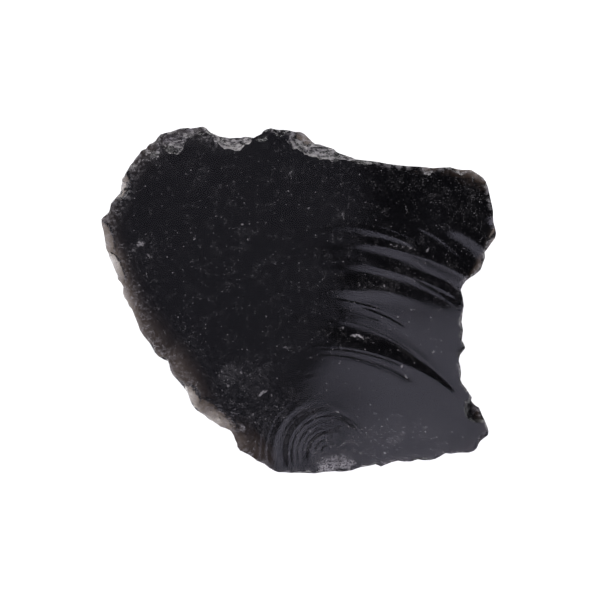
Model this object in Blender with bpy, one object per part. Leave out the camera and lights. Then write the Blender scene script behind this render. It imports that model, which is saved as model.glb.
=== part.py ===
"""Obsidian chunk: one solid lump of volcanic glass, lying on its flat underside.

The main face is up (+Z). It is one large fracture, struck near the lower rim, and its rings and
ripples spread from that point. Flake scars run round the rim, above and below it.
Lengths in the tables are millimetres; the mesh is in metres.
X is the longest side, the origin is the middle of the outline on the surface the chunk lies on.
"""
import math

import bmesh
import bpy
import numpy as np
from mathutils import Vector

MM = 0.001

# Driving dimensions
FACE_HEIGHT = 22.0          # top of the main face above the rest face
FACE_CROWN = (-4.0, 4.0)    # where the main face is highest
FACE_RADIUS_X = 200.0       # how gently it falls to the left and right
FACE_RADIUS_Y = 230.0       # and to the top and bottom
RIPPLE_LEAN = 0.6           # ripples fall off quicker on the far side of the blow
BLOCK_TOP = 30.0            # rough block, before the face is cut
HEADROOM = 5.0              # the cutter of the face reaches this far above it
BELT_HEIGHT = 12.0          # the wall is upright down to here
FOOT_SCALE = 0.86           # and draws in to this share of the outline at the foot
STRIKE = (6.6, -34.6)       # point of the blow that opened the main face

# Rim seen from above, anticlockwise from the tip at the left
LOWER_LEFT_RIM = [
    (-45.2, 18.5), (-44.5, 14.1), (-44.0, 11.6), (-42.9, 8.9), (-41.4, 4.8), (-40.2, 3.0),
    (-40.2, 1.4), (-38.8, -1.4), (-37.6, -3.2), (-36.3, -6.8), (-34.0, -9.9), (-32.4, -12.7),
    (-29.8, -14.0), (-28.7, -17.1), (-25.7, -20.9), (-25.0, -22.3), (-23.5, -24.9),
    (-21.4, -26.2), (-18.7, -28.2), (-15.5, -29.9), (-14.4, -32.1),
]
BOTTOM_RIM = [
    (-13.7, -34.0), (-11.4, -35.2), (-7.8, -37.4), (-4.8, -39.2), (3.6, -39.6), (10.7, -39.1),
    (15.3, -38.1), (18.7, -38.1), (22.1, -36.7), (24.2, -36.9), (27.1, -36.5), (30.6, -36.7),
    (33.5, -35.1), (37.4, -35.0), (39.7, -34.9), (40.8, -34.0), (41.7, -32.3),
]
RIGHT_RIM = [
    (43.5, -30.1), (42.8, -27.8), (41.4, -24.7), (39.8, -23.5), (39.6, -22.2), (38.3, -20.3),
    (37.1, -17.8), (36.5, -13.9), (36.8, -12.5), (38.1, -10.9), (37.5, -8.2), (37.2, -5.0),
    (37.6, -0.7), (37.0, 2.3), (38.1, 4.3), (41.5, 6.8), (42.6, 9.8), (42.5, 10.9),
    (44.0, 13.0), (45.2, 15.3), (44.5, 18.2), (44.2, 21.4), (43.4, 24.9), (42.9, 27.1),
    (41.3, 28.7),
]
TOP_RIM = [
    (39.4, 29.8), (36.3, 29.9), (34.7, 30.4), (30.6, 30.1), (24.9, 30.6), (18.0, 31.5),
    (13.0, 32.1), (9.3, 33.3), (7.8, 34.4), (3.6, 35.6), (2.1, 37.1), (0.5, 38.3),
    (-1.6, 38.5), (-4.1, 38.8), (-6.4, 39.1), (-7.5, 38.9), (-8.4, 37.8), (-10.3, 36.9),
    (-13.2, 37.1), (-17.1, 37.2), (-19.6, 38.0), (-21.0, 39.1),
]
UPPER_LEFT_RIM = [
    (-21.9, 39.6), (-24.9, 39.1), (-26.9, 39.1), (-29.9, 38.3), (-31.7, 37.8), (-32.6, 36.5),
    (-34.2, 35.7), (-34.9, 34.7), (-35.9, 34.2), (-36.7, 33.2), (-38.5, 30.8), (-39.9, 28.5),
    (-40.5, 26.9), (-40.9, 24.6), (-42.6, 22.6), (-43.1, 21.4), (-43.8, 19.6),
]
RIM = LOWER_LEFT_RIM + BOTTOM_RIM + RIGHT_RIM + TOP_RIM + UPPER_LEFT_RIM

# Broad swells of the face: centre, spread along X and Y, height
SWELLS = [
    (-20.0, -39.0, 17.0, 15.0, 2.6),
    (-8.0, -24.0, 15.0, 12.0, 0.45),
    (27.0, 14.0, 9.0, 22.0, -0.5),
    (9.0, -3.0, 8.0, 6.0, 0.45),
]

# Rings and ripples, as arcs round the blow. Angle at both ends, radius at the start, middle and
# end, half width at the start and the end, steepness, share over which it fades in and out
RIPPLES = [
    (200, 55, 4.9, 4.5, 4.8, 1.0, 0.8, -0.24, 0.12, 0.15),
    (205, 30, 9.0, 9.0, 9.2, 1.6, 1.2, -0.20, 0.12, 0.10),
    (200, 66, 11.6, 11.9, 11.3, 1.4, 1.0, 0.10, 0.12, 0.20),
    (168, 20, 47.3, 28.0, 33.1, 13.2, 1.2, -0.30, 0.55, 0.06),
    (128, 52, 38.0, 39.8, 40.9, 8.0, 1.2, -0.27, 0.39, 0.35),
    (88, 48, 47.2, 48.1, 50.0, 1.6, 3.4, 0.22, 0.40, 0.04),
    (92, 65, 51.2, 50.8, 50.5, 1.8, 1.4, 0.20, 0.20, 0.15),
    (62, 47, 57.3, 57.7, 56.6, 2.0, 3.6, 0.16, 0.15, 0.10),
]

# Scars that open on the main face: where the scar's inner edge starts on the rim, how far it
# reaches in, where it ends, and the slope in degrees at which it leaves the face
FACE_SCARS = {
    "left_edge_upper": ((-44.9, 19.0), (-42.4, 15.0), (-41.2, 10.4), 15),
    "left_edge_lower": ((-41.8, 11.6), (-40.0, 7.4), (-38.4, 2.8), 15),
    "left_shoulder": ((-40.1, 28.6), (-38.8, 26.2), (-40.9, 23.2), 34),
    "upper_left_a": ((-39.4, 29.6), (-36.6, 31.2), (-36.0, 34.0), 30),
    "upper_left_b": ((-37.2, 32.4), (-33.6, 31.8), (-32.0, 37.4), 28),
    "upper_left_wedge": ((-32.0, 37.6), (-29.2, 33.2), (-26.6, 38.4), 38),
    "upper_left_c": ((-29.8, 38.4), (-28.0, 36.4), (-26.4, 39.2), 40),
    "upper_left_d": ((-27.4, 39.0), (-26.0, 36.8), (-24.2, 39.2), 34),
    "top_corner": ((-24.2, 39.2), (-22.4, 37.4), (-20.8, 38.6), 26),
    "top_notch": ((-20.9, 37.6), (-15.8, 34.3), (-10.2, 36.8), 46),
    "top_knob_left": ((-10.6, 36.8), (-8.4, 36.0), (-6.2, 38.9), 34),
    "top_knob_mid": ((-6.6, 39.0), (-4.6, 37.2), (-2.6, 38.8), 30),
    "top_knob_right": ((-3.0, 38.7), (-1.0, 34.4), (3.6, 36.2), 36),
    "top_slope_left": ((-0.6, 34.4), (3.8, 32.4), (8.9, 33.8), 30),
    "top_slope_right": ((3.6, 33.0), (8.2, 31.6), (13.4, 32.1), 26),
    "top_bevel": ((12.0, 32.4), (17.3, 30.9), (23.6, 30.7), 30),
    "top_chip": ((28.4, 30.4), (29.6, 28.6), (30.8, 30.2), 38),
    "corner_nick": ((35.6, 30.1), (37.6, 28.8), (40.0, 29.6), 30),
    "corner_facet": ((39.4, 29.8), (40.6, 26.2), (43.4, 25.0), 38),
    "right_sliver": ((43.4, 25.6), (43.2, 21.8), (44.5, 19.4), 30),
    "right_hollow": ((44.2, 20.2), (41.3, 17.0), (43.4, 13.6), 42),
    "right_tip": ((44.4, 18.4), (43.8, 15.6), (43.2, 11.8), 40),
    "right_shoulder": ((42.6, 11.6), (41.7, 8.8), (41.6, 6.6), 34),
    "right_chip": ((37.6, -10.0), (36.2, -12.2), (36.6, -14.4), 44),
    "right_nick": ((39.4, -22.0), (38.2, -23.8), (40.6, -24.6), 34),
    "right_pit": ((38.4, -24.6), (39.4, -27.6), (42.2, -28.6), 50),
    "lower_corner": ((43.4, -30.4), (41.6, -31.2), (41.0, -33.2), 30),
    "crushed_blow": ((4.4, -39.6), (9.2, -36.0), (14.2, -38.3), 24),
    "lower_left_a": ((-25.6, -20.8), (-23.4, -22.6), (-23.2, -25.2), 26),
    "lower_left_b": ((-23.4, -25.0), (-18.2, -23.5), (-13.4, -26.6), 18),
    "lower_left_c": ((-21.0, -26.6), (-14.2, -27.4), (-10.4, -35.6), 24),
}

# Scars of the underside and the wall: a point on the rim, the glass left below the face there,
# the inner end of the scar, its radius, and how far it is stretched along the rim
UNDER_SCARS = {
    "under_left": ((-43.0, 11.0), 3.4, (-17.0, 9.0, 0.0), 88, 1.5),
    "under_lower_left": ((-34.5, -9.5), 2.0, (-14.0, -3.0, 0.0), 74, 1.5),
    "under_scallops": ((-21.5, -26.0), 1.2, (-7.0, -14.0, 0.0), 60, 1.5),
    "under_blow": ((5.0, -39.4), 6.0, (6.0, -27.0, 0.0), 38, 1.6),
    "under_lower_right": ((31.0, -36.6), 5.0, (21.0, -22.0, 0.0), 52, 1.3),
    "under_right": ((37.2, -8.0), 8.5, (28.0, -6.0, 0.0), 46, 1.2),
    "under_right_low": ((40.5, -24.0), 8.0, (27.0, -18.0, 0.0), 34, 1.1),
    "under_upper_right": ((44.0, 20.0), 7.0, (26.0, 12.0, 0.0), 40, 1.3),
    "under_top": ((16.0, 31.6), 8.0, (13.0, 21.0, 0.0), 50, 1.3),
    "under_notch": ((-8.0, 37.2), 6.5, (-3.0, 22.0, 0.0), 60, 1.2),
    "under_upper_left": ((-33.0, 36.0), 3.2, (-13.0, 19.0, 0.0), 64, 1.5),
    "wall_right_upper": ((38.6, 3.6), 5.0, (34.5, 2.0, 4.0), 9, 1.1),
    "wall_right_middle": ((37.2, -5.0), 3.2, (33.0, -5.5, 4.0), 14, 1.5),
    "wall_right_lower": ((36.8, -13.5), 5.0, (33.0, -13.0, 4.0), 11, 1.1),
    "wall_top_left": ((-1.0, 38.4), 4.2, (-2.0, 33.0, 6.0), 13, 1.3),
    "wall_top": ((21.0, 31.1), 3.2, (19.5, 26.0, 5.0), 15, 1.6),
    "wall_top_right": ((34.0, 30.2), 2.8, (31.0, 25.5, 7.0), 12, 1.3),
    "wall_blow": ((-3.0, -39.3), 3.8, (-1.5, -34.0, 5.0), 14, 1.3),
    "wall_lower": ((17.0, -38.1), 3.0, (15.5, -32.5, 6.0), 14, 1.3),
}

# Scoops under the rim that leave it thin enough to see through: the place, the glass left
# there, the scoop's radius, how far it is stretched, and along which heading in degrees
SCOOPS = {
    "scoop_left_tip": ((-44.4, 13.4), 1.15, 2.6, 1.9, -78),
    "scoop_left": ((-42.0, 6.6), 0.95, 2.3, 2.1, -69),
    "scoop_lower_left": ((-33.2, -8.4), 2.5, 9.0, 2.0, -55),
    "scoop_shoulder_low": ((-25.5, -18.9), 2.2, 9.0, 2.0, -60),
    "scoop_scallop": ((-19.6, -26.6), 1.45, 3.4, 2.4, -37),
    "scoop_brown": ((-12.1, -32.4), 2.7, 7.0, 1.6, -47),
    "scoop_corner": ((41.6, 27.6), 2.9, 4.0, 1.3, -45),
}

FACE_SPOKES = 96            # spokes of the main face round the blow
FACE_REACH = 88.0           # radius that covers the whole outline
RING_STEP = 0.95            # spacing of its rings near the blow
RIPPLE_STEP = 1.45          # and further out
RING_ZONE = 17.1            # radius where the spacing changes
MERGE = 0.01                # points of the fan closer than this become one
SMALL_SCAR = 3.0            # scars with a tighter arc than this are cut by a coarser ball
WALL_SCAR = 20.0            # scars with a tighter radius than this have half the segments
UNDER_SEGMENTS = 64         # segments of the ball that cuts a wide scar of the underside


def clear_scene():
    for existing in list(bpy.data.objects):
        bpy.data.objects.remove(existing, do_unlink=True)


def smooth_step(value):
    value = np.clip(value, 0, 1)
    return value * value * (3 - 2 * value)


def ripple_height(radius, angle, ripple):
    start, end, first, middle, last, wide, narrow, steepness, fade_in, fade_out = ripple
    share = (angle - start) / (end - start)
    inside = np.clip(share, 0, 1)
    bend = first - 2 * middle + last
    away = radius - first - (4 * middle - 3 * first - last) * inside - 2 * bend * inside ** 2
    width = (wide + (narrow - wide) * inside) * np.where(away > 0, RIPPLE_LEAN, 1.0)
    window = smooth_step(share / fade_in) * smooth_step((1 - share) / fade_out)
    return steepness * away * np.exp(-(away / width) ** 2) * window


def face_height(x, y):
    """Height of the main face in millimetres over a point of the outline."""
    x = np.asarray(x, dtype=float)
    y = np.asarray(y, dtype=float)
    height = FACE_HEIGHT - (x - FACE_CROWN[0]) ** 2 / (2 * FACE_RADIUS_X)
    height = height - (y - FACE_CROWN[1]) ** 2 / (2 * FACE_RADIUS_Y)
    for middle_x, middle_y, spread_x, spread_y, rise in SWELLS:
        from_middle = np.hypot((x - middle_x) / spread_x, (y - middle_y) / spread_y)
        height = height + rise * np.exp(-from_middle ** 2)
    radius = np.hypot(x - STRIKE[0], y - STRIKE[1])
    angle = np.degrees(np.arctan2(y - STRIKE[1], x - STRIKE[0])) % 360
    for ripple in RIPPLES:
        height = height + ripple_height(radius, angle, ripple)
    return height


def add_object(name, mesh_builder):
    mesh = bpy.data.meshes.new(name)
    mesh_builder.to_mesh(mesh)
    mesh_builder.free()
    piece = bpy.data.objects.new(name, mesh)
    bpy.context.scene.collection.objects.link(piece)
    return piece


def hide_cutter(cutter):
    cutter.hide_render = True
    cutter.display_type = "WIRE"
    return cutter


def cut(piece, cutter):
    boolean = piece.modifiers.new(cutter.name, "BOOLEAN")
    boolean.operation = "DIFFERENCE"
    boolean.solver = "EXACT"
    boolean.object = hide_cutter(cutter)


def make_block():
    """The outline as an upright wall that draws in towards the foot."""
    bm = bmesh.new()
    rim = [bm.verts.new((x * MM, y * MM, BLOCK_TOP * MM)) for x, y in RIM]
    lowest = bm.faces.new(rim)
    for height, scale in ((BELT_HEIGHT, 1.0), (0.0, FOOT_SCALE)):
        grown = bmesh.ops.extrude_face_region(bm, geom=[lowest], use_keep_orig=True)["geom"]
        if height < BELT_HEIGHT:
            bm.faces.remove(lowest)
        lowest = next(part for part in grown if isinstance(part, bmesh.types.BMFace))
        for vert in lowest.verts:
            vert.co = Vector((vert.co.x * scale, vert.co.y * scale, height * MM))
    bmesh.ops.recalc_face_normals(bm, faces=bm.faces)
    return add_object("obsidian_chunk", bm)


def make_face_cutter():
    """All that lies above the main face: a fan of spokes and rings round the blow, raised."""
    near = np.arange(0.0, RING_ZONE, RING_STEP)
    far = np.arange(RING_ZONE, FACE_REACH, RIPPLE_STEP)
    bm = bmesh.new()
    spoke = [bm.verts.new((radius * MM, 0, 0)) for radius in np.concatenate((near, far))]
    edges = [bm.edges.new(pair) for pair in zip(spoke, spoke[1:])]
    bmesh.ops.spin(bm, geom=spoke + edges, axis=(0, 0, 1), cent=(0, 0, 0),
                   angle=math.tau, steps=FACE_SPOKES, use_merge=True)
    bmesh.ops.remove_doubles(bm, verts=bm.verts, dist=MERGE * MM)
    for vert in bm.verts:
        x = vert.co.x / MM + STRIKE[0]
        y = vert.co.y / MM + STRIKE[1]
        vert.co = Vector((x * MM, y * MM, float(face_height(x, y)) * MM))
    lid = bmesh.ops.extrude_face_region(bm, geom=bm.faces[:], use_keep_orig=True)
    for part in lid["geom"]:
        if isinstance(part, bmesh.types.BMVert):
            part.co.z = (BLOCK_TOP + HEADROOM) * MM
    bmesh.ops.recalc_face_normals(bm, faces=bm.faces)
    return add_object("above_the_face", bm)


def circle_through(first, second, third):
    """Centre and radius of the circle through three points of the plane."""
    a, b, c = (Vector(point) for point in (first, second, third))
    doubled = 2 * (a.x * (b.y - c.y) + b.x * (c.y - a.y) + c.x * (a.y - b.y))
    x = (a.length_squared * (b.y - c.y) + b.length_squared * (c.y - a.y)
         + c.length_squared * (a.y - b.y)) / doubled
    y = (a.length_squared * (c.x - b.x) + b.length_squared * (a.x - c.x)
         + c.length_squared * (b.x - a.x)) / doubled
    centre = Vector((x, y))
    return centre, (a - centre).length


def make_face_scar(name, start, middle, end, slope):
    """A ball that leaves the main face along the arc through the three points."""
    centre, radius = circle_through(start, middle, end)
    slope = math.radians(slope)
    height = float(face_height(*middle)) + radius / math.tan(slope)
    detail = 3 if radius < SMALL_SCAR else 4
    bm = bmesh.new()
    bmesh.ops.create_icosphere(bm, subdivisions=detail, radius=radius / math.sin(slope) * MM)
    bmesh.ops.translate(bm, verts=bm.verts, vec=(centre.x * MM, centre.y * MM, height * MM))
    return add_object(name, bm)


def make_under_scar(name, edge, thickness, foot, radius, stretch):
    """A stretched ball that hollows the glass between a point below the rim and the foot."""
    top = Vector((edge[0], edge[1], float(face_height(*edge)) - thickness))
    toe = Vector(foot)
    chord = top - toe
    along_rim = chord.cross(Vector((0, 0, 1))).normalized()
    outward = along_rim.cross(chord).normalized()
    if outward.z > 0:
        outward = -outward
    centre = (top + toe) / 2 + outward * math.sqrt(radius ** 2 - (chord.length / 2) ** 2)
    segments = UNDER_SEGMENTS // 2 if radius < WALL_SCAR else UNDER_SEGMENTS
    bm = bmesh.new()
    bmesh.ops.create_uvsphere(bm, u_segments=segments, v_segments=segments // 2,
                              radius=radius * MM)
    for vert in bm.verts:
        vert.co += vert.co.dot(along_rim) * (stretch - 1) * along_rim
    bmesh.ops.translate(bm, verts=bm.verts, vec=centre * MM)
    return add_object(name, bm)


def make_scoop(name, place, thickness, radius, stretch, heading):
    """A stretched ball whose top lies the given thickness below the main face."""
    heading = math.radians(heading)
    along = Vector((math.cos(heading), math.sin(heading), 0))
    centre = Vector((place[0], place[1], float(face_height(*place)) - thickness - radius))
    bm = bmesh.new()
    bmesh.ops.create_icosphere(bm, subdivisions=3, radius=radius * MM)
    for vert in bm.verts:
        vert.co += vert.co.dot(along) * (stretch - 1) * along
    bmesh.ops.translate(bm, verts=bm.verts, vec=centre * MM)
    return add_object(name, bm)


def obsidian_material():
    material = bpy.data.materials.new("obsidian")
    material.use_nodes = True
    shader = material.node_tree.nodes["Principled BSDF"]
    shader.inputs["Base Color"].default_value = (0.012, 0.012, 0.014, 1)
    shader.inputs["Roughness"].default_value = 0.15
    shader.inputs["Metallic"].default_value = 0.0
    shader.inputs["IOR"].default_value = 1.49
    return material


def build():
    clear_scene()
    chunk = make_block()
    cut(chunk, make_face_cutter())
    for name, scar in UNDER_SCARS.items():
        cut(chunk, make_under_scar(name, *scar))
    for name, scoop in SCOOPS.items():
        cut(chunk, make_scoop(name, *scoop))
    for name, scar in FACE_SCARS.items():
        cut(chunk, make_face_scar(name, *scar))
    chunk.data.materials.append(obsidian_material())


build()
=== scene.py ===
import math
import random

import bmesh
import bpy
import numpy as np
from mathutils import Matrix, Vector, noise


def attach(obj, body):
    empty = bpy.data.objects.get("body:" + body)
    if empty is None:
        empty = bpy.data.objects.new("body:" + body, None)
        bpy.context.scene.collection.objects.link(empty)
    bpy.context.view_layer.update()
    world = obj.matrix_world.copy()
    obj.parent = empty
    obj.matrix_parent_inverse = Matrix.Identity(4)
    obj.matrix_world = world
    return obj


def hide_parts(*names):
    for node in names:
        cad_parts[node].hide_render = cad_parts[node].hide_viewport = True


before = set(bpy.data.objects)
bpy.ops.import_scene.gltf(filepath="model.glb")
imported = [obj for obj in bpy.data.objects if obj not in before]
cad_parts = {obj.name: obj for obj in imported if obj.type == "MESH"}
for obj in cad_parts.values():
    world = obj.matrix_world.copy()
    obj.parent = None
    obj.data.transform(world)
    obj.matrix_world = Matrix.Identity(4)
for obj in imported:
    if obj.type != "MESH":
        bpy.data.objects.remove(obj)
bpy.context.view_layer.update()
print("frame loaded")

mm = 0.001
bpy.context.scene.view_settings.view_transform = "Standard"


chunk = {
    "faceHeight": 21.89,         # top of the main face above the rest face, mm
    "faceCrown": (-4.0, 4.0),    # where the main face is highest
    "faceRadius": (200.0, 230.0),   # how gently it falls along X and Y
    "strike": (6.6, -34.6),      # point of the blow
    "rippleLean": 0.6,           # ripples fall off quicker on the far side of the blow
    "blockTop": 30.0,
    "headroom": 5.0,             # lid of the face's cutter above the block
    "topBand": 4.0,              # height of the wall's first band, the others are one step each
    "wallStep": 1.5,
    "beltHeight": 12.0,          # wall is upright down to here
    "wallRough": 0.35,           # deepest hackle of the wall, mm
    "wallGrain": 5.0,            # its grain, mm
    "wallSmooth": 0.45,          # share of the hackle that stays level
    "footScale": 0.86,           # the wall draws in to this share at the foot
    "spokes": 300,
    # distance between the rings of the face's mesh, from each radius on
    "ringSteps": ((0.0, 0.2), (17.0, 0.3), (21.0, 0.15), (38.0, 0.25), (60.0, 0.4), (88.0, 1.0)),
    "sharpAngle": 14.0,          # degrees between faces that read as an edge
}

# outline in sheet steps, right and down, clockwise from the left tip
stepMm = 0.228
sheetCentre = (299.0, 300.0)
rimSteps = [
    (101, 219), (103, 217), (106, 214.5), (108.5, 212), (110, 207), (110.5, 203), (112, 201),
    (115, 197.5), (119, 193), (120, 191), (120.5, 186), (121.5, 182), (121.3, 178), (123.5, 176),
    (125, 173), (127.5, 169.5), (130, 165), (133, 161.5), (135, 158.5), (137, 156), (139.5, 153),
    (141, 150.5), (143.5, 149), (145.5, 148.5), (147, 146), (149, 143.5), (152.5, 142),
    (155, 140.3), (157, 137.5), (160, 134), (163, 133), (167, 132), (171, 131.5), (175, 130),
    (180, 128.5), (184, 128), (188, 127.8), (190.5, 128.5), (194, 128), (197, 127.5),
    (200, 126.8), (203, 126.5), (206, 127.8), (208, 130), (211, 132.5), (215, 134), (219, 136),
    (224, 137), (230, 138), (236, 137.5), (241, 137.5), (245, 136.5), (250, 137), (254, 138),
    (256, 136.5), (259, 135.2), (261.5, 134), (263, 131.5), (266, 129.5), (271, 128.3),
    (276, 129.5), (281, 130), (286, 130), (291, 131), (295, 132), (299, 131.7), (303, 133),
    (306, 135.5), (309, 138.5), (312, 141.5), (315, 144), (320, 144.5), (325, 146), (330, 147.5),
    (334, 149), (337, 152), (341, 153.8), (345, 155), (351, 157), (356, 159), (362, 159.8),
    (370, 161), (378, 162), (388, 164), (398, 165), (408, 166), (418, 166.5), (426, 167),
    (433, 167.8), (440, 167), (451, 166.5), (457, 168.5), (463, 169.5), (472, 169.3),
    (474, 170.5), (480, 174), (484, 177), (487, 181), (489, 187), (490, 192), (491.5, 199),
    (493, 206), (494, 211), (494, 216), (494.5, 222), (496, 227), (497.3, 233), (496, 238),
    (492, 243), (488, 249), (485.5, 252), (486, 257), (484, 262), (481, 270), (475, 275),
    (470, 278), (466, 281), (463, 285), (461, 290), (463, 297), (464, 306), (463, 313),
    (462, 322), (463.5, 330), (463, 335), (462.5, 340), (465, 345), (466, 348.5), (463.5, 351),
    (460.5, 355), (459, 361), (461, 367), (462, 373), (461.5, 380), (463, 384), (467, 389),
    (470, 394), (472.5, 397.5), (472, 401), (473.5, 403), (476.5, 406), (480.5, 408.5),
    (482, 412), (484, 417), (486.5, 422), (489, 428), (490, 432), (489.5, 436), (486, 438.5),
    (482, 441.5), (480, 444), (478, 449), (475, 452), (470, 453.5), (464, 453.5), (458, 453.5),
    (452, 454.5), (446, 454), (441, 457), (436, 459.5), (431, 461), (424, 461), (418, 460),
    (411, 462), (404, 462), (398, 461), (392, 463), (386, 465), (381, 467), (376, 465),
    (366, 467), (359, 468), (352, 470.5), (346, 471.5), (340, 472), (335, 471.5), (325, 472),
    (320, 473), (315, 473.5), (308, 473.3), (300, 473), (292, 472.8), (285, 472.3), (278, 472),
    (273, 470), (269, 467.5), (265, 464), (261, 462), (257, 460.5), (253, 457), (249, 454.5),
    (244, 452), (240, 450), (237.5, 446.5), (237, 443), (235, 439), (234, 435.5), (232, 432),
    (230, 430), (226, 428), (221, 426.5), (217, 423.5), (213, 421), (209, 419), (205, 415),
    (197, 410), (196, 409), (192, 404), (190, 399), (188, 393), (185, 390.5), (183, 387),
    (180, 383), (177, 379.5), (173, 375), (170.5, 370), (169.5, 365), (168, 361), (164, 359.5),
    (159, 356.5), (155, 352.5), (152.5, 348), (150, 343.5), (147, 340), (143, 335), (140, 330),
    (138, 324), (136, 319), (134, 314), (132, 309), (129, 306), (127, 301.5), (124, 297),
    (122.5, 293), (123, 287), (121, 283), (117.5, 279), (117, 275), (115, 271), (113, 266),
    (111, 261), (109, 257), (108, 253), (106, 249), (104.5, 244), (104, 238), (103, 231),
    (101.5, 225),
]

# broad swells of the main face: centre, spread along X and Y, height
swells = [
    (-20.0, -39.0, 17.0, 15.0, 2.6),
    (-8.0, -24.0, 15.0, 12.0, 0.45),
    (27.0, 14.0, 9.0, 22.0, -0.5),
    (9.0, -3.0, 8.0, 6.0, 0.45),
]

# rings and ripples of the main face, as arcs round the blow: angle at start and end,
# radius at start, middle and end, width at start and end, steepness, fade at start and end
ripples = [
    (178, 40, 1.6, 1.5, 1.6, 0.5, 0.4, -0.24, 0.1, 0.1),
    (178, 45, 3.0, 2.9, 3.0, 0.4, 0.3, -0.18, 0.1, 0.1),
    (200, 55, 4.9, 4.5, 4.8, 0.8, 0.6, -0.28, 0.12, 0.15),
    (205, 60, 6.6, 6.3, 6.6, 0.7, 0.5, 0.10, 0.10, 0.10),
    (205, 30, 8.6, 8.2, 8.8, 0.5, 0.35, -0.36, 0.12, 0.06),
    (205, 50, 9.8, 9.8, 9.9, 1.1, 0.7, -0.14, 0.12, 0.20),
    (200, 66, 11.6, 11.9, 11.3, 1.3, 0.8, 0.10, 0.12, 0.20),
    (195, 100, 13.6, 13.4, 13.4, 0.8, 0.5, -0.08, 0.1, 0.2),
    (190, 118, 14.8, 14.8, 15.1, 0.8, 0.5, -0.06, 0.1, 0.2),
    (186, 130, 16.6, 16.4, 16.6, 0.8, 0.5, -0.05, 0.1, 0.2),
    (130, 84, 17.6, 17.9, 18.2, 0.9, 0.6, -0.08, 0.3, 0.2),
    (104, 32, 22.6, 22.4, 25.8, 0.45, 0.40, -0.55, 0.15, 0.15),
    (104, 44, 23.9, 23.7, 26.4, 0.40, 0.35, -0.52, 0.15, 0.15),
    (168, 20, 47.3, 28.0, 33.1, 13.2, 0.8, -0.34, 0.55, 0.06),
    (88, 40, 30.6, 29.6, 29.9, 0.5, 0.4, 0.20, 0.25, 0.25),
    (92, 66, 32.3, 32.1, 31.9, 0.45, 0.35, -0.34, 0.20, 0.15),
    (78, 57, 33.9, 33.6, 33.3, 0.50, 0.40, -0.38, 0.20, 0.15),
    (94, 70, 34.9, 34.7, 34.6, 0.50, 0.40, -0.40, 0.20, 0.15),
    (104, 68, 37.0, 36.6, 36.9, 1.40, 1.00, 0.12, 0.25, 0.15),
    (128, 52, 38.0, 39.8, 40.9, 8.0, 0.6, -0.27, 0.39, 0.35),
    (116, 76, 42.8, 43.1, 43.4, 3.6, 2.0, -0.16, 0.45, 0.30),
    (78, 50, 42.8, 43.6, 45.4, 1.0, 1.8, 0.18, 0.25, 0.10),
    (64, 49, 43.7, 44.2, 45.0, 0.7, 0.7, -0.24, 0.15, 0.10),
    (72, 53, 45.0, 45.9, 47.4, 0.7, 0.7, -0.24, 0.20, 0.15),
    (88, 48, 47.2, 48.1, 50.0, 1.4, 3.4, 0.22, 0.40, 0.04),
    (82, 60, 47.9, 48.2, 48.9, 0.8, 0.8, 0.10, 0.30, 0.20),
    (92, 65, 51.2, 50.8, 50.5, 1.8, 1.0, 0.20, 0.20, 0.15),
    (80, 66, 52.8, 52.4, 51.8, 0.5, 0.5, 0.14, 0.2, 0.2),
    (69, 55, 54.8, 54.6, 53.2, 0.8, 1.1, 0.14, 0.20, 0.15),
    (62, 47, 57.3, 57.7, 56.6, 2.0, 3.6, 0.16, 0.15, 0.10),
]

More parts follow.
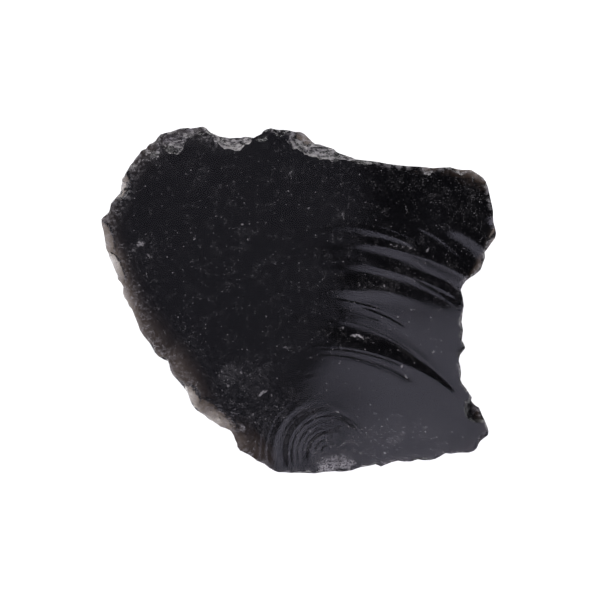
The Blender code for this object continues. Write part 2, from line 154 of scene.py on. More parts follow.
# scars that open on the main face: start, deepest reach and end of the inner edge,
# slope in degrees, how crushed and white the break is
faceScars = {
    "leftEdgeUpper": ((-44.9, 19.0), (-42.4, 15.0), (-41.2, 10.4), 15, 0.3),
    "leftEdgeLower": ((-41.8, 11.6), (-40.0, 7.4), (-38.4, 2.8), 15, 0.3),
    "leftShoulder": ((-40.1, 28.6), (-38.8, 26.2), (-40.9, 23.2), 34, 0.5),
    "upperLeftA": ((-39.4, 29.6), (-36.6, 31.2), (-36.0, 34.0), 30, 0.5),
    "upperLeftB": ((-37.2, 32.4), (-33.6, 31.8), (-32.0, 37.4), 28, 0.5),
    "upperLeftWedge": ((-32.0, 37.6), (-29.2, 33.2), (-26.6, 38.4), 38, 0.7),
    "upperLeftC": ((-29.8, 38.4), (-28.0, 36.4), (-26.4, 39.2), 40, 0.0),
    "upperLeftD": ((-27.4, 39.0), (-26.0, 36.8), (-24.2, 39.2), 34, 0.7),
    "topCorner": ((-24.2, 39.2), (-22.4, 37.4), (-20.8, 38.6), 26, 0.3),
    "topNotch": ((-20.9, 37.6), (-15.8, 34.3), (-10.2, 36.8), 46, 1.0),
    "topKnobLeft": ((-10.6, 36.8), (-8.4, 36.0), (-6.2, 38.9), 34, 0.2),
    "topKnobMid": ((-6.6, 39.0), (-4.6, 37.2), (-2.6, 38.8), 30, 0.5),
    "topKnobRight": ((-3.0, 38.7), (-1.0, 34.4), (3.6, 36.2), 36, 0.7),
    "topSlopeLeft": ((-0.6, 34.4), (3.8, 32.4), (8.9, 33.8), 30, 0.9),
    "topSlopeRight": ((3.6, 33.0), (8.2, 31.6), (13.4, 32.1), 26, 0.9),
    "topBevel": ((12.0, 32.4), (17.3, 30.9), (23.6, 30.7), 30, 0.4),
    "topChip": ((28.4, 30.4), (29.6, 28.6), (30.8, 30.2), 38, 0.7),
    "cornerNick": ((35.6, 30.1), (37.6, 28.8), (40.0, 29.6), 30, 0.6),
    "cornerFacet": ((39.4, 29.8), (40.6, 26.2), (43.4, 25.0), 38, 0.1),
    "rightSliver": ((43.4, 25.6), (43.2, 21.8), (44.5, 19.4), 30, 0.4),
    "rightHollow": ((44.2, 20.2), (41.3, 17.0), (43.4, 13.6), 42, 0.0),
    "rightTip": ((44.4, 18.4), (43.8, 15.6), (43.2, 11.8), 40, 0.5),
    "rightShoulder": ((42.6, 11.6), (41.7, 8.8), (41.6, 6.6), 34, 0.3),
    "rightChip": ((37.6, -10.0), (36.2, -12.2), (36.6, -14.4), 44, 0.0),
    "rightNick": ((39.4, -22.0), (38.2, -23.8), (40.6, -24.6), 34, 0.6),
    "rightPit": ((38.2, -24.5), (38.9, -27.5), (42.1, -28.8), 50, 0.0),
    "lowerCorner": ((43.4, -30.4), (41.6, -31.2), (41.0, -33.2), 30, 0.1),
    "crushedBlow": ((4.4, -39.6), (9.2, -36.0), (14.2, -38.3), 24, 0.9),
    "lowerLeftA": ((-25.6, -20.8), (-23.4, -22.6), (-23.2, -25.2), 26, 0.3),
    "lowerLeftB": ((-23.4, -25.0), (-18.2, -23.5), (-13.4, -26.6), 18, 0.4),
    "lowerLeftC": ((-21.0, -26.6), (-14.2, -27.4), (-10.4, -35.6), 24, 0.3),
}

# scars below the rim: point on the rim, glass left there, inner end, radius, stretch along the rim
underScars = {
    "underLeft": ((-43.0, 11.0), 3.4, (-17.0, 9.0, 0.0), 88, 1.5),
    "underLowerLeft": ((-34.5, -9.5), 2.0, (-14.0, -3.0, 0.0), 74, 1.5),
    "underScallops": ((-21.5, -26.0), 1.2, (-7.0, -14.0, 0.0), 60, 1.5),
    "underBlow": ((5.0, -39.4), 6.0, (6.0, -27.0, 0.0), 38, 1.6),
    "underLowerRight": ((31.0, -36.6), 5.0, (21.0, -22.0, 0.0), 52, 1.3),
    "underRight": ((37.2, -8.0), 8.5, (28.0, -6.0, 0.0), 46, 1.2),
    "underRightLow": ((40.5, -24.0), 8.0, (27.0, -18.0, 0.0), 34, 1.1),
    "underUpperRight": ((44.0, 20.0), 7.0, (26.0, 12.0, 0.0), 40, 1.3),
    "underTop": ((16.0, 31.6), 8.0, (13.0, 21.0, 0.0), 50, 1.3),
    "underNotch": ((-8.0, 37.2), 6.5, (-3.0, 22.0, 0.0), 60, 1.2),
    "underUpperLeft": ((-33.0, 36.0), 3.2, (-13.0, 19.0, 0.0), 64, 1.5),
    "wallRightUpper": ((38.6, 3.6), 5.0, (34.5, 2.0, 4.0), 9, 1.1),
    "wallRightMiddle": ((37.2, -5.0), 3.2, (33.0, -5.5, 4.0), 14, 1.5),
    "wallRightLower": ((36.8, -13.5), 5.0, (33.0, -13.0, 4.0), 11, 1.1),
    "wallTopLeft": ((-1.0, 38.4), 4.2, (-2.0, 33.0, 6.0), 13, 1.3),
    "wallTop": ((21.0, 31.1), 3.2, (19.5, 26.0, 5.0), 15, 1.6),
    "wallTopRight": ((34.0, 30.2), 2.8, (31.0, 25.5, 7.0), 12, 1.3),
    "wallBlow": ((-3.0, -39.3), 3.8, (-1.5, -34.0, 5.0), 14, 1.3),
    "wallLower": ((17.0, -38.1), 3.0, (15.5, -32.5, 6.0), 14, 1.3),
}

# scoops that leave a thin flange of glass: place, glass left, radius, stretch, heading,
# and how round the roof of the scoop is, from 0 for flat to 1 for a ball
scoops = {
    "scoopLeftTip": ((-44.4, 13.4), 1.15, 2.6, 1.9, -78, 0.35),
    "scoopLeft": ((-42.0, 6.6), 0.95, 2.3, 2.1, -69, 0.35),
    "scoopLowerLeft": ((-33.2, -8.4), 2.5, 9.0, 2.0, -55, 1.0),
    "scoopShoulderLow": ((-25.5, -18.9), 2.2, 9.0, 2.0, -60, 1.0),
    "scoopPatch": ((-24.6, -22.0), 0.65, 2.4, 1.6, -58, 1.0),
    "scoopScallop": ((-19.6, -26.6), 1.5, 3.4, 2.4, -37, 0.8),
    "scoopBrown": ((-12.1, -32.4), 2.7, 7.0, 1.6, -47, 1.0),
    "scoopShoulder": ((-40.6, 25.6), 0.9, 2.6, 1.6, 70, 1.0),
    "scoopKnob": ((1.4, 36.4), 2.3, 3.0, 1.3, -45, 1.0),
    "scoopCorner": ((41.6, 27.6), 2.9, 4.0, 1.3, -45, 1.0),
    "scoopRightTip": ((44.4, 13.6), 1.8, 2.6, 1.5, 60, 1.0),
}

# small chips along the rim
chips = {
    "seed": 7,
    "chance": 0.42,              # share of the rim's points that have one
    "radius": (0.7, 1.7),
    "outside": (0.35, 0.75),     # how far out of the rim and above the face it sits, in radii
    "above": (0.15, 0.6),
    "stretch": (1.0, 1.8),
    "crushed": (0, 1, 2, 3, 5),  # in tenths
    "clearance": 2.1,            # between two chips of one cutter, in radii
}

# skin of each kind of break: fineness of the ball, grain of its hackle in mm, depth of the
# hackle, height of the faint ripples
skins = {
    "smallScar": (5, 1.4, 0.25, 0.03),
    "faceScar": (6, 1.4, 0.25, 0.03),
    "underScar": (6, 6.0, 0.5, 0.06),
    "scoop": (6, 1.3, 0.4, 0.0),
    "chip": (3, 0.9, 0.3, 0.0),
}
crushedDepth = 0.55      # mm, how much deeper the hackle of a fully crushed break is
ripplePitch = 3.2        # mm between the faint ripples of a scar
smallScar = 4.0          # scars under this radius take the coarser ball

# slots of the cutters, read back after the cuts: main face, wall and underside,
# then scars from dark to fully crushed in tenths
mainSlot, wallSlot, scarSlot = 0, 1, 2
tenths = 10
slotCount = scarSlot + tenths + 1


def onSheet(right, down):
    # sheet steps to mm
    return (right - sheetCentre[0]) * stepMm, (sheetCentre[1] - down) * stepMm


rimPoints = [onSheet(right, down) for right, down in rimSteps]


def smoothStep(value):
    value = np.clip(value, 0, 1)
    return value * value * (3 - 2 * value)


def rippleHeight(radius, angle, ripple):
    start, end, first, middle, last, wide, narrow, steepness, fadeIn, fadeOut = ripple
    share = (angle - start) / (end - start)
    inside = np.clip(share, 0, 1)
    bend = first - 2 * middle + last
    away = radius - first - (4 * middle - 3 * first - last) * inside - 2 * bend * inside ** 2
    window = smoothStep(share / fadeIn) * smoothStep((1 - share) / fadeOut)
    width = (wide + (narrow - wide) * inside) * np.where(away > 0, chunk["rippleLean"], 1.0)
    return steepness * away * np.exp(-(away / width) ** 2) * window


def faceHeight(x, y):
    # height of the main face above the rest face: dome, swells, rings and ripples
    crown, radii, strike = chunk["faceCrown"], chunk["faceRadius"], chunk["strike"]
    x = np.asarray(x, dtype=float)
    y = np.asarray(y, dtype=float)
    height = (chunk["faceHeight"] - (x - crown[0]) ** 2 / (2 * radii[0])
              - (y - crown[1]) ** 2 / (2 * radii[1]))
    for middleX, middleY, spreadX, spreadY, rise in swells:
        height = height + rise * np.exp(-((x - middleX) / spreadX) ** 2 - ((y - middleY) / spreadY) ** 2)
    radius = np.hypot(x - strike[0], y - strike[1])
    angle = np.degrees(np.arctan2(y - strike[1], x - strike[0])) % 360
    for ripple in ripples:
        height = height + rippleHeight(radius, angle, ripple)
    return height


def newObject(name, bm, slot=0):
    for face in bm.faces:
        face.material_index = slot
    mesh = bpy.data.meshes.new(name)
    bm.to_mesh(mesh)
    bm.free()
    made = bpy.data.objects.new(name, mesh)
    bpy.context.scene.collection.objects.link(made)
    return made


def hackle(point, size):
    # uneven break, 0 to 1, of a given grain in mm
    return 0.5 + 0.5 * noise.fractal(point / size, 0.8, 2.0, 3)


def makeBlock():
    # outline drawn down in bands, rough on the wall and drawn in below the belt
    belt, foot = chunk["beltHeight"], chunk["footScale"]
    heights = list(np.arange(chunk["blockTop"] - chunk["topBand"], 0, -chunk["wallStep"])) + [0.0]
    bm = bmesh.new()
    lid = bm.faces.new([bm.verts.new((x, y, chunk["blockTop"])) for x, y in rimPoints])
    lowest = lid
    for height in heights:
        grown = bmesh.ops.extrude_face_region(bm, geom=[lowest], use_keep_orig=True)["geom"]
        if lowest is not lid:
            bm.faces.remove(lowest)
        lowest = next(part for part in grown if isinstance(part, bmesh.types.BMFace))
        for vert in lowest.verts:
            vert.co.z = height
    for vert in bm.verts:
        height = vert.co.z
        scale = foot + (1 - foot) * min(height / belt, 1)
        flat = Vector((vert.co.x, vert.co.y, 0))
        if height > 0:
            rise = max(hackle(vert.co, chunk["wallGrain"]) - chunk["wallSmooth"], 0)
            scale -= chunk["wallRough"] * rise / flat.length
        vert.co = Vector((flat.x * scale, flat.y * scale, height)) * mm
    bmesh.ops.recalc_face_normals(bm, faces=bm.faces)
    return newObject("obsidianBlock", bm, wallSlot)


def makeFaceCutter():
    # everything above the main face, as a disc round the blow with finer rings at the ripples
    zones = chunk["ringSteps"]
    radii = np.concatenate([np.arange(near, far, step)
                            for (near, step), (far, _) in zip(zones, zones[1:])])
    bm = bmesh.new()
    spoke = [bm.verts.new((radius * mm, 0, 0)) for radius in radii]
    edges = [bm.edges.new(pair) for pair in zip(spoke, spoke[1:])]
    bmesh.ops.spin(bm, geom=spoke + edges, axis=(0, 0, 1), cent=(0, 0, 0),
                   angle=math.tau, steps=chunk["spokes"], use_merge=True)
    bmesh.ops.remove_doubles(bm, verts=bm.verts, dist=0.001 * mm)
    points = np.array([vert.co[:2] for vert in bm.verts]) / mm + np.array(chunk["strike"])
    heights = faceHeight(points[:, 0], points[:, 1])
    for vert, point, height in zip(bm.verts, points, heights):
        vert.co = Vector((point[0] * mm, point[1] * mm, height * mm))
    lid = bmesh.ops.extrude_face_region(bm, geom=bm.faces[:], use_keep_orig=True)
    for part in lid["geom"]:
        if isinstance(part, bmesh.types.BMVert):
            part.co.z = (chunk["blockTop"] + chunk["headroom"]) * mm
    bmesh.ops.recalc_face_normals(bm, faces=bm.faces)
    return newObject("aboveTheFace", bm, mainSlot)


def circleThrough(first, second, third):
    a, b, c = (Vector(point) for point in (first, second, third))
    doubled = 2 * (a.x * (b.y - c.y) + b.x * (c.y - a.y) + c.x * (a.y - b.y))
    x = (a.length_squared * (b.y - c.y) + b.length_squared * (c.y - a.y)
         + c.length_squared * (a.y - b.y)) / doubled
    y = (a.length_squared * (c.x - b.x) + b.length_squared * (a.x - c.x)
         + c.length_squared * (b.x - a.x)) / doubled
    centre = Vector((x, y))
    return centre, (a - centre).length


def roughBall(bm, centre, radius, stretch, along, skin, crushed=0.0, roundness=1.0):
    # ball pulled out along one direction, its skin broken by hackle and faint ripples
    fineness, grain, depth, ripple = skins[skin]
    depth += crushedDepth * crushed
    for vert in bmesh.ops.create_icosphere(bm, subdivisions=fineness, radius=radius)["verts"]:
        outward = vert.co.normalized()
        vert.co.z = math.copysign(radius * (abs(vert.co.z) / radius) ** roundness, vert.co.z)
        vert.co += vert.co.dot(along) * (stretch - 1) * along
        place = vert.co + centre
        away = (vert.co - Vector((0, 0, radius))).length
        wave = math.sin(away * math.tau / ripplePitch) * ripple
        vert.co = (place + outward * (wave + (hackle(place, grain) - 0.5) * depth)) * mm


def makeFaceScar(name, start, middle, end, slope, crushed):
    # ball that meets the main face in an arc through three points, at the given slope
    centre, radius = circleThrough(start, middle, end)
    slope = math.radians(slope)
    height = float(faceHeight(*middle)) + radius / math.tan(slope)
    bm = bmesh.new()
    roughBall(bm, Vector((centre.x, centre.y, height)), radius / math.sin(slope), 1.0,
              Vector((1, 0, 0)), "smallScar" if radius < smallScar else "faceScar", crushed)
    return newObject(name, bm, scarSlot + round(crushed * tenths))


def makeUnderScar(name, edge, thickness, foot, radius, stretch):
    # ball outside the wall that bites in between a point under the rim and one further in
    top = Vector((edge[0], edge[1], float(faceHeight(*edge)) - thickness))
    toe = Vector(foot)
    chord = top - toe
    alongRim = chord.cross(Vector((0, 0, 1))).normalized()
    outward = alongRim.cross(chord).normalized()
    if outward.z > 0:
        outward = -outward
    centre = (top + toe) / 2 + outward * math.sqrt(radius ** 2 - (chord.length / 2) ** 2)
    bm = bmesh.new()
    roughBall(bm, centre, radius, stretch, alongRim, "underScar")
    return newObject(name, bm, wallSlot)


def makeScoop(name, place, thickness, radius, stretch, heading, roundness):
    heading = math.radians(heading)
    along = Vector((math.cos(heading), math.sin(heading), 0))
    height = float(faceHeight(*place)) - thickness - radius
    bm = bmesh.new()
    roughBall(bm, Vector((place[0], place[1], height)), radius, stretch, along, "scoop",
              roundness=roundness)
    return newObject(name, bm, wallSlot)


def makeChips():
    # shared out so that the balls of one cutter stay clear of each other
    rng = random.Random(chips["seed"])
    points = [Vector(point) for point in rimPoints]
    batches = []
    for index, point in enumerate(points):
        if rng.random() > chips["chance"]:
            continue
        along = (points[(index + 1) % len(points)] - points[index - 1]).normalized()
        outward = Vector((-along.y, along.x))
        radius = rng.uniform(*chips["radius"])
        centre = point + outward * radius * rng.uniform(*chips["outside"])
        height = float(faceHeight(*point)) + radius * rng.uniform(*chips["above"])
        chip = (Vector((centre.x, centre.y, height)), radius, rng.uniform(*chips["stretch"]),
                Vector((along.x, along.y, 0)), rng.choice(chips["crushed"]))
        for batch in batches:
            if all((chip[0] - other[0]).length > chips["clearance"] * (radius + other[1])
                   for other in batch):
                batch.append(chip)
                break
        else:
            batches.append([chip])
    cutters = []
    for number, batch in enumerate(batches):
        bm = bmesh.new()
        for *ball, _ in batch:
            roughBall(bm, *ball, "chip")
        cutters.append(newObject("chips%d" % number, bm, scarSlot + batch[0][-1]))
    return cutters


def cut(piece, cutter):
    boolean = piece.modifiers.new(cutter.name, "BOOLEAN")
    boolean.operation = "DIFFERENCE"
    boolean.solver = "MANIFOLD"
    boolean.object = cutter


def bake(piece):
    graph = bpy.context.evaluated_depsgraph_get()
    mesh = bpy.data.meshes.new_from_object(piece.evaluated_get(graph))
    piece.modifiers.clear()
    piece.data = mesh
    return mesh


def store(mesh, name, domain, values):
    layer = mesh.attributes.new(name, "FLOAT", domain)
    layer.data.foreach_set("value", np.asarray(values, dtype=np.float32))


farInset = 9.0           # mm, for points that lie in no scar
outerInset = 0.2         # mm, how far outside a scar its edge still counts
darkInset = 2.0          # mm, keeps the white edge off scars that aren't crushed


def markFaces(mesh):
    # slots of the cutters become values of every face: how crushed, scar or not, wall or not
    slots = np.empty(len(mesh.polygons), dtype=int)
    mesh.polygons.foreach_get("material_index", slots)
    store(mesh, "crushed", "FACE", np.clip((slots - scarSlot) / tenths, 0, 1))
    store(mesh, "scarred", "FACE", slots >= scarSlot)
    store(mesh, "wall", "FACE", slots == wallSlot)
    # and every point knows how far it lies from the edge of a scar and from the rim
    flat = np.empty(len(mesh.vertices) * 3)
    mesh.vertices.foreach_get("co", flat)
    flat = flat.reshape(-1, 3)[:, :2] / mm
    inset = np.full(len(flat), farInset)
    for start, middle, end, _, crushed in faceScars.values():
        centre, radius = circleThrough(start, middle, end)
        depth = radius - np.hypot(flat[:, 0] - centre.x, flat[:, 1] - centre.y)
        inset = np.where(depth > -outerInset,
                         np.minimum(inset, np.abs(depth) + darkInset * (1 - crushed)), inset)
    store(mesh, "inset", "POINT", inset)
    outline = np.array(rimPoints)
    fromRim = np.full(len(flat), np.inf)
    for near, far in zip(outline, np.roll(outline, -1, axis=0)):
        side = far - near
        along = np.clip(((flat - near) @ side) / (side @ side), 0, 1)
        fromRim = np.minimum(fromRim, np.hypot(*(flat - near - along[:, None] * side).T))
    store(mesh, "fromRim", "POINT", fromRim)
    print("faces by slot:", np.bincount(slots, minlength=slotCount).tolist())


def makeChunk():
    made = makeBlock()
    holders = [bpy.data.materials.new("slot%d" % index) for index in range(slotCount)]
    for holder in holders:
        made.data.materials.append(holder)
    cutters = [makeFaceCutter()]
    cutters += [makeUnderScar(name, *scar) for name, scar in underScars.items()]
    cutters += [makeScoop(name, *scoop) for name, scoop in scoops.items()]
    cutters += [makeFaceScar(name, *scar) for name, scar in faceScars.items()]
    cutters += makeChips()
    for cutter in cutters:
        cut(made, cutter)
    block = made.data
    mesh = bake(made)
    markFaces(mesh)
    mesh.materials.clear()
    for cutter in cutters:
        bpy.data.objects.remove(cutter, do_unlink=True)
    bpy.data.meshes.remove(block)
    for holder in holders:
        bpy.data.materials.remove(holder)
    triangles = sum(len(polygon.vertices) - 2 for polygon in mesh.polygons)
    print("chunk cut:", len(mesh.polygons), "faces,", triangles, "triangles")
    return made


glass = {
    "ior": 1.49,
    "roughness": 0.13,
    "wear": 0.05,                        # roughness that handling adds in patches
    "scarRoughness": 0.08,               # and that the breaks have on top
    "smoke": (0.14, 0.06, 0.0),          # share of light left by the glass, with the density below
    "density": 1650.0,
    "hackle": (0.05, 0.04, 0.25),        # relief of dark scars, of the wall and of crushed scars
    "bump": 0.6,
}

crust = {
    "colour": (0.66, 0.63, 0.60, 1),     # crushed glass and dust
    "roughness": 0.8,
    "strength": 0.85,                    # of the white on a crushed scar
    "threshold": (0.56, 0.76),
    "lift": 0.16,                        # how much further a fully crushed scar is covered
    "stretch": 0.3,                      # how far its layers are drawn out sideways
    "rimLine": (0.1, 1.25),              # mm, the white line where a scar leaves the face
    "rimLineStrength": 0.9,
    "rimWear": (1.5, 0.5),               # mm inward from the outline, strength
    "fringe": (0.4, 4.5),                # mm inward, the fuzzy wear along the left rim
    "fringeEnd": (-24, -8),              # mm along X, where it has gone
    "fringeStrength": 0.6,
}

dust = {
    "haze": 0.12,
    "hazeLimit": 0.6,        # density from which the haze grows no more
    "everywhere": 0.11,      # share of the specks that lies outside the dusty patches
    "loose": 0.7,            # density of the small patches that lie anywhere
    "onScars": 0.4,
    "patchEdge": (0.1, 1.3),     # where a dusty patch begins to fade and where it has gone
    "markEdge": (0.45, 1.15),
    "waver": 1.4,            # mm, how far the edge of a mark wanders
}

# specks: cells per mm, share of the cells that hold one, its size in cells, strength, stretch
speckLayers = {
    "coarse": (0.8, 0.16, 0.10, 0.52, (1, 1, 1)),
    "middle": (1.7, 0.26, 0.15, 0.42, (1, 1, 1)),
    "fine": (3.2, 0.60, 0.24, 0.24, (1, 1, 1)),
    "scratches": (1.4, 0.40, 0.12, 0.32, (0.38, 1.7, 1)),
}
speckEdge = (0.4, 1.5)   # where a speck begins to fade and where it has gone, in its sizes
speckRange = (1.0, 0.3)  # how much of a speck's strength is drawn by lot, and its least

# noise patterns: scale per mm, detail, roughness
grains = {
    "clouds": (0.45, 4.0, 0.65),
    "haze": (1.2, 4.0, 0.7),
    "marks": (2.6, 2.0, 0.5),
    "waver": (1.3, 3.0, 0.5),
    "fringe": (1.3, 6.0, 0.8),
    "layers": (2.0, 4.0, 0.65),
    "patches": (0.8, 3.0, 0.5),
    "hackle": (1.6, 5.0, 0.6),
    "wear": (0.25, 4.0, 0.6),
}

# dusty patches: right and down in sheet steps, length, width, turn, strength
clouds = [
    (408, 180, 44, 30, 10, 0.7), (440, 196, 40, 24, -20, 0.6), (472, 186, 34, 40, 0, 0.8),
    (470, 216, 34, 40, 0, 0.7), (440, 168, 90, 16, 0, 0.7), (142, 246, 36, 34, 0, 1.0),
    (244, 384, 80, 56, 30, 1.4), (196, 176, 36, 28, 30, 0.9), (214, 152, 30, 14, 20, 0.8),
    (396, 438, 130, 50, 0, 3.4), (292, 174, 18, 26, 0, 0.7), (388, 282, 90, 34, 25, 0.9),
    (292, 346, 44, 12, 0, 0.8), (290, 425, 100, 80, 0, 1.4), (356, 450, 140, 44, 0, 4.0),
    (160, 160, 50, 24, -40, 0.7), (246, 232, 44, 16, 0, 0.7), (372, 334, 70, 20, 25, 0.8),
    (340, 215, 26, 22, 60, 0.6), (410, 246, 70, 18, 12, 0.8), (225, 440, 60, 40, 30, 0.6),
    (190, 350, 30, 90, 34, 0.5),
]

# marks on the main face: right and down in sheet steps, length, width, turn, strength
marks = [
    (358, 336, 18, 3.2, -10, 1.0), (366, 338, 9, 2.0, -8, 0.7), (343, 328, 2.4, 2.4, 0, 0.9),
    (402, 366, 3, 5, -20, 0.9), (406, 376, 6, 2.6, -50, 0.8), (391, 245, 5, 1.6, 0, 0.5),
    (396, 247, 4, 1.6, -10, 0.5), (403, 247, 5, 1.8, 0, 0.6), (410, 248, 5, 1.8, 10, 0.5),
    (428, 250, 4, 2.4, 40, 0.6), (195, 239, 4, 2.6, 20, 0.9), (187, 174, 2.4, 2.4, 0, 0.7),
    (191, 171, 2, 2, 0, 0.6), (141, 244, 9, 6, 0, 0.55), (134, 250, 5, 5, 40, 0.35),
    (150, 256, 8, 4, -30, 0.3), (147, 275, 6, 1.6, -60, 0.5), (242, 225, 4, 1.6, 30, 0.5),
    (249, 240, 3, 3, 0, 0.5), (217, 216, 3, 2, 0, 0.5), (290, 174, 12, 1.6, 60, 0.45),
    (309, 209, 3, 2, 0, 0.5), (262, 393, 15, 2.2, 36, 0.8), (272, 395, 2.4, 2.4, 0, 0.6),
    (228, 385, 5, 2, 20, 0.5), (236, 370, 4, 3, 0, 0.5), (242, 372, 3, 3, 0, 0.45),
    (223, 371, 5, 2, 70, 0.5), (219, 375, 7, 1.6, 85, 0.4), (253, 414, 3, 2, 0, 0.5),
    (310, 431, 4, 2, 20, 0.6), (311, 357, 3, 2, 0, 0.5), (340, 362, 2.4, 2.4, 0, 0.5),
    (337, 411, 3, 3, 0, 0.5), (427, 251, 3, 3, 0, 0.6), (384, 286, 6, 2, -50, 0.45),
    (343, 216, 11, 1.2, -80, 0.35), (406, 209, 11, 1.2, -80, 0.3), (412, 309, 8, 1.6, -20, 0.5),
    (433, 352, 3, 2, 0, 0.5), (287, 347, 12, 3, 0, 0.25), (395, 440, 16, 9, 0, 0.16),
    (403, 434, 8, 4, 10, 0.3), (385, 453, 5, 2, 10, 0.5), (165, 332, 9, 1.6, -60, 0.35),
    (474, 414, 2.4, 2, 0, 0.5), (481, 417, 3, 2, 0, 0.5), (255, 446, 18, 1.4, 85, 0.35),
    (197, 387, 17, 1.4, 80, 0.35), (230, 372, 24, 18, 30, 0.10), (328, 467, 24, 12, 4, 1.0),
    (346, 464, 24, 10, 8, 0.8), (334, 460, 40, 12, 8, 0.45), (120, 186, 5, 12, 0, 0.75),
]

flatten = 1000.0         # height hardly counts in the distance to a mark


class Wire:
    # a shader socket that adds Math nodes when it is used in an expression
    def __init__(self, tree, socket):
        self.tree = tree
        self.socket = socket

    def node(self, kind, settings=None, inputs=None, output=0):
        made = self.tree.nodes.new("ShaderNode" + kind)
        for key, value in (settings or {}).items():
            setattr(made, key, value)
        for key, value in (inputs or {}).items():
            if isinstance(value, Wire):
                self.tree.links.new(value.socket, made.inputs[key])
            else:
                made.inputs[key].default_value = value
        return Wire(self.tree, made.outputs[output])

    def other(self, name):
        # another output of the same node
        return Wire(self.tree, self.socket.node.outputs[name])

    def maths(self, operation, *values):
        return self.node("Math", {"operation": operation}, dict(enumerate(values)))

    def __add__(self, other):
        return self.maths("ADD", self, other)

    def __radd__(self, other):
        return self.maths("ADD", other, self)

    def __sub__(self, other):
        return self.maths("SUBTRACT", self, other)

    def __rsub__(self, other):
        return self.maths("SUBTRACT", other, self)

    def __mul__(self, other):
        return self.maths("MULTIPLY", self, other)

    def __rmul__(self, other):
        return self.maths("MULTIPLY", other, self)

    def absolute(self):
        return self.maths("ABSOLUTE", self)

    def lessThan(self, other):
        return self.maths("LESS_THAN", self, other)

    def atMost(self, other):
        return self.maths("MINIMUM", self, other)

    def atLeast(self, other):
        return self.maths("MAXIMUM", self, other)

    def step(self, low, high):
        # 0 below low, 1 above high, smooth between
        return self.node("MapRange", {"interpolation_type": "SMOOTHSTEP"},
                         {"Value": self, "From Min": low, "From Max": high})

    def scaled(self, x, y, z):
        return self.node("VectorMath", {"operation": "MULTIPLY"}, {0: self, 1: (x, y, z)})

    def along(self, axis):
        return self.node("SeparateXYZ", None, {0: self}, axis)

    def attribute(self, name):
        return self.node("Attribute", {"attribute_name": name}, None, "Fac")

    def noise(self, grain, output="Fac"):
        scale, detail, roughness = grains[grain]
        return self.node("TexNoise", None, {"Vector": self, "Scale": scale, "Detail": detail,
                                            "Roughness": roughness}, output)


def spread(place, spots, inner, outer):
    # soft oval spots, the strongest one winning where they meet
    total = None
    for right, down, length, width, turn, strength in spots:
        local = place.node("Mapping", {"vector_type": "TEXTURE"},
                           {"Vector": place, "Location": (*onSheet(right, down), 0),
                            "Rotation": (0, 0, math.radians(turn)),
                            "Scale": (length * stepMm / 2, width * stepMm / 2, flatten)})
        away = local.node("VectorMath", {"operation": "LENGTH"}, {0: local}, "Value")
        spot = away.node("MapRange", {"interpolation_type": "SMOOTHSTEP"},
                         {"Value": away, "From Min": inner, "From Max": outer,
                          "To Min": strength, "To Max": 0.0})
        total = spot if total is None else total.atLeast(spot)
    return total


def dustDensity(place):
    # cloudy dust: loose patches anywhere, and the larger ones broken up
    broken = place.noise("clouds")
    patches = spread(place, clouds, *dust["patchEdge"]) * broken.step(0.34, 0.66)
    return (broken.step(0.47, 0.76) * dust["loose"]).atLeast(patches)


def dustSpecks(place, density):
    # specks in some cells of scattered patterns, in more of them where the dust is dense
    drawn, least = speckRange
    specks = None
    for cells, share, size, strength, stretch in speckLayers.values():
        away = place.node("TexVoronoi", {"voronoi_dimensions": "2D"},
                          {"Vector": place.scaled(*stretch), "Scale": cells}, "Distance")
        lot = place.node("SeparateColor", None, {"Color": away.other("Color")})
        chosen = lot.lessThan(density * share + share * dust["everywhere"])
        level = lot.other("Green") * (strength * drawn) + strength * least
        layer = (1 - away.step(size * speckEdge[0], size * speckEdge[1])) * chosen * level
        specks = layer if specks is None else specks.atLeast(layer)
    return specks


def dustMarks(place):
    # the larger marks, their edges wavering so that none is clean
    waver = place.node("VectorMath", {"operation": "SUBTRACT"},
                       {0: place.noise("waver", "Color"), 1: (0.5, 0.5, 0.5)})
    wavering = place.node("VectorMath", {"operation": "ADD"},
                          {0: place, 1: waver.scaled(dust["waver"], dust["waver"], 0)})
    return spread(wavering, marks, *dust["markEdge"]) * place.noise("marks").step(0.36, 0.60)


def leftFringe(place, fromRim):
    # fuzzy wear that fades inward from the rim and toward the right
    near = 1 - fromRim.step(*crust["fringe"])
    left = 1 - place.along("X").step(*crust["fringeEnd"])
    return near * left * place.noise("fringe").step(0.46, 0.66) * crust["fringeStrength"]


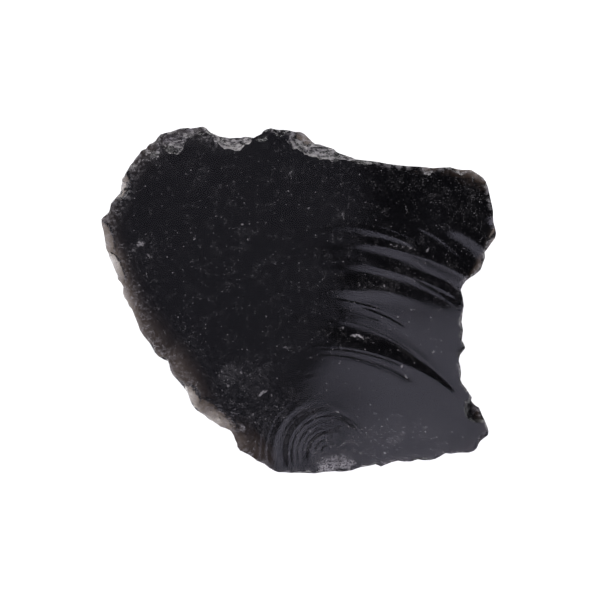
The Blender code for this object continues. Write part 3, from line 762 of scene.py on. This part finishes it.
def obsidianMaterial():
    material = bpy.data.materials.new("obsidian")
    material.use_nodes = True
    tree = material.node_tree
    output = tree.nodes["Material Output"]
    clear = tree.nodes["Principled BSDF"]
    clear.inputs["Base Color"].default_value = (1, 1, 1, 1)
    clear.inputs["Transmission Weight"].default_value = 1.0
    clear.inputs["IOR"].default_value = glass["ior"]
    volume = tree.nodes.new("ShaderNodeVolumeAbsorption")
    volume.inputs["Color"].default_value = (*glass["smoke"], 1)
    volume.inputs["Density"].default_value = glass["density"]
    tree.links.new(volume.outputs[0], output.inputs["Volume"])
    white = tree.nodes.new("ShaderNodeBsdfPrincipled")
    white.inputs["Base Color"].default_value = crust["colour"]
    white.inputs["Roughness"].default_value = crust["roughness"]

    coordinates = tree.nodes.new("ShaderNodeTexCoord")
    place = Wire(tree, coordinates.outputs["Object"]).scaled(1 / mm, 1 / mm, 1 / mm)
    crushed, scarred, wall = (place.attribute(name) for name in ("crushed", "scarred", "wall"))
    inset, fromRim = place.attribute("inset"), place.attribute("fromRim")
    main = 1 - scarred.atLeast(wall)

    # white breaks: drawn out layers on crushed scars, a line round them, wear along the rim
    layers = place.scaled(crust["stretch"], 1, 1).noise("layers")
    patches = place.noise("patches")
    cover = (layers * 0.7 + patches * 0.3 + crushed * crust["lift"]).step(*crust["threshold"])
    cover = cover * crushed.step(0.0, 0.5) * crust["strength"]
    line = (1 - inset.step(*crust["rimLine"])) * (layers * 0.5 + patches * 0.5).step(0.35, 0.6)
    reach, strength = crust["rimWear"]
    worn = (1 - fromRim.step(0.0, reach)) * (layers * 0.4 + patches * 0.6).step(0.46, 0.62) * strength
    cover = cover.atLeast(line * scarred * crust["rimLineStrength"]).atLeast(worn * (1 - wall))

    # dust and marks on top
    density = dustDensity(place)
    haze = density.atMost(dust["hazeLimit"]) * place.noise("haze").step(0.42, 0.75) * dust["haze"]
    cover = cover.atLeast(dustMarks(place).atLeast(leftFringe(place, fromRim)) * (1 - wall))
    factor = cover + dustSpecks(place, density) * (main + dust["onScars"] * scarred) + haze * main

    # hackle on the breaks, and a wear haze in the polish of the main face
    onScars, onWall, onCrushed = glass["hackle"]
    relief = (place.noise("hackle") * (scarred * onScars + wall * onWall)
              + layers * crushed * onCrushed)
    bump = place.node("Bump", None, {"Height": relief, "Distance": mm, "Strength": glass["bump"]})
    polish = (glass["roughness"] + glass["wear"] * place.noise("wear")
              + glass["scarRoughness"] * scarred)
    tree.links.new(polish.socket, clear.inputs["Roughness"])
    for shader in (clear, white):
        tree.links.new(bump.socket, shader.inputs["Normal"])
    mixed = tree.nodes.new("ShaderNodeMixShader")
    tree.links.new(factor.atMost(1.0).socket, mixed.inputs[0])
    tree.links.new(clear.outputs[0], mixed.inputs[1])
    tree.links.new(white.outputs[0], mixed.inputs[2])
    tree.links.new(mixed.outputs[0], output.inputs["Surface"])
    return material


piece = makeChunk()
piece.name = "obsidianChunk"
piece.data.materials.append(obsidianMaterial())
for polygon in piece.data.polygons:
    polygon.material_index = 0
    polygon.use_smooth = True
piece.data.set_sharp_from_angle(angle=math.radians(chunk["sharpAngle"]))
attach(piece, "root")
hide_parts("obsidian_chunk")
print("chunk dressed")


studio = {
    "floorSize": 1.2,
    "floorGlow": 0.95,
    "floorColour": (0.85, 0.85, 0.85, 1),
    "floorRoughness": 0.9,
    "floorLevel": -0.0002,
    "coolLight": (0.985, 0.96, 1.20, 1),
    "worldLight": 0.27,
    "worldDark": 0.075,          # behind and far to the right
    "cameraHeight": 0.75,
    "cameraLevel": 0.018,        # height above the floor at which the image is as wide as given
    "cameraAside": stepMm,       # mm along X
    "imageWidth": 600 * stepMm,  # mm
    "sensor": 36.0,
}

# sheet of light that the face mirrors: centre, size, radiance, soft edge along X and Y
sheetLight = ((0.335, -0.305, 0.6), (0.55, 0.73), 1.22, (0.12, 0.12))

# strip behind the lump: centre, size, radiance
stripLight = ((-0.1, 0.75, 0.40), (0.6, 0.30), 4.6)


def makeFloor():
    bm = bmesh.new()
    bmesh.ops.create_grid(bm, x_segments=1, y_segments=1, size=studio["floorSize"])
    floor = newObject("floor", bm)
    floor.location.z = studio["floorLevel"]
    material = bpy.data.materials.new("floor")
    material.use_nodes = True
    shader = material.node_tree.nodes["Principled BSDF"]
    shader.inputs["Base Color"].default_value = studio["floorColour"]
    shader.inputs["Roughness"].default_value = studio["floorRoughness"]
    shader.inputs["Emission Color"].default_value = (1, 1, 1, 1)
    shader.inputs["Emission Strength"].default_value = studio["floorGlow"]
    floor.data.materials.append(material)


def makeWorld():
    # even light all round, falling off toward the back right
    world = bpy.data.worlds.new("studio")
    bpy.context.scene.world = world
    world.use_nodes = True
    tree = world.node_tree
    direction = Wire(tree, tree.nodes.new("ShaderNodeTexCoord").outputs["Generated"])
    right, back = direction.along("X"), direction.along("Y")
    fall = (right + back * 0.4).step(0.27, 0.38) * back.step(-0.10, 0.06)
    fall = fall.atLeast(right.step(0.55, 0.75))
    strength = studio["worldLight"] + (studio["worldDark"] - studio["worldLight"]) * fall
    background = tree.nodes["Background"]
    background.inputs["Color"].default_value = studio["coolLight"]
    tree.links.new(strength.socket, background.inputs["Strength"])


def makeSheetLight(name, centre, size, radiance, softEdge):
    # glowing sheet that faces down and fades toward its edges
    bm = bmesh.new()
    bmesh.ops.create_grid(bm, x_segments=1, y_segments=1, size=0.5)
    bmesh.ops.scale(bm, verts=bm.verts, vec=(*size, 1))
    sheet = newObject(name, bm)
    sheet.location = centre
    sheet.visible_camera = False
    material = bpy.data.materials.new(name)
    material.use_nodes = True
    tree = material.node_tree
    tree.nodes.remove(tree.nodes["Principled BSDF"])
    place = Wire(tree, tree.nodes.new("ShaderNodeTexCoord").outputs["Object"])
    glow = radiance
    for axis, side, soft in zip("XY", size, softEdge):
        glow = glow * (1 - place.along(axis).absolute().step(side / 2 - soft, side / 2))
    shade = tree.nodes.new("ShaderNodeEmission")
    shade.inputs["Color"].default_value = studio["coolLight"]
    tree.links.new(glow.socket, shade.inputs["Strength"])
    tree.links.new(shade.outputs[0], tree.nodes["Material Output"].inputs["Surface"])
    sheet.data.materials.append(material)


def makeStripLight(name, centre, size, radiance):
    # rectangle that faces the origin
    light = bpy.data.lights.new(name, "AREA")
    light.shape = "RECTANGLE"
    light.size, light.size_y = size
    light.energy = radiance * math.pi * size[0] * size[1]
    lamp = bpy.data.objects.new(name, light)
    lamp.location = centre
    lamp.rotation_euler = Vector(centre).to_track_quat("Z", "Y").to_euler()
    bpy.context.scene.collection.objects.link(lamp)


def makeCamera():
    data = bpy.data.cameras.new("camera")
    data.sensor_width = studio["sensor"]
    data.lens = studio["sensor"] * studio["cameraHeight"] / (studio["imageWidth"] * mm)
    data.clip_start = 0.01
    camera = bpy.data.objects.new("camera", data)
    camera.location = (studio["cameraAside"] * mm, 0, studio["cameraHeight"] + studio["cameraLevel"])
    bpy.context.scene.collection.objects.link(camera)
    bpy.context.scene.camera = camera


makeFloor()
makeWorld()
makeSheetLight("softboxRight", *sheetLight)
makeStripLight("stripTop", *stripLight)
makeCamera()
print("studio lit")
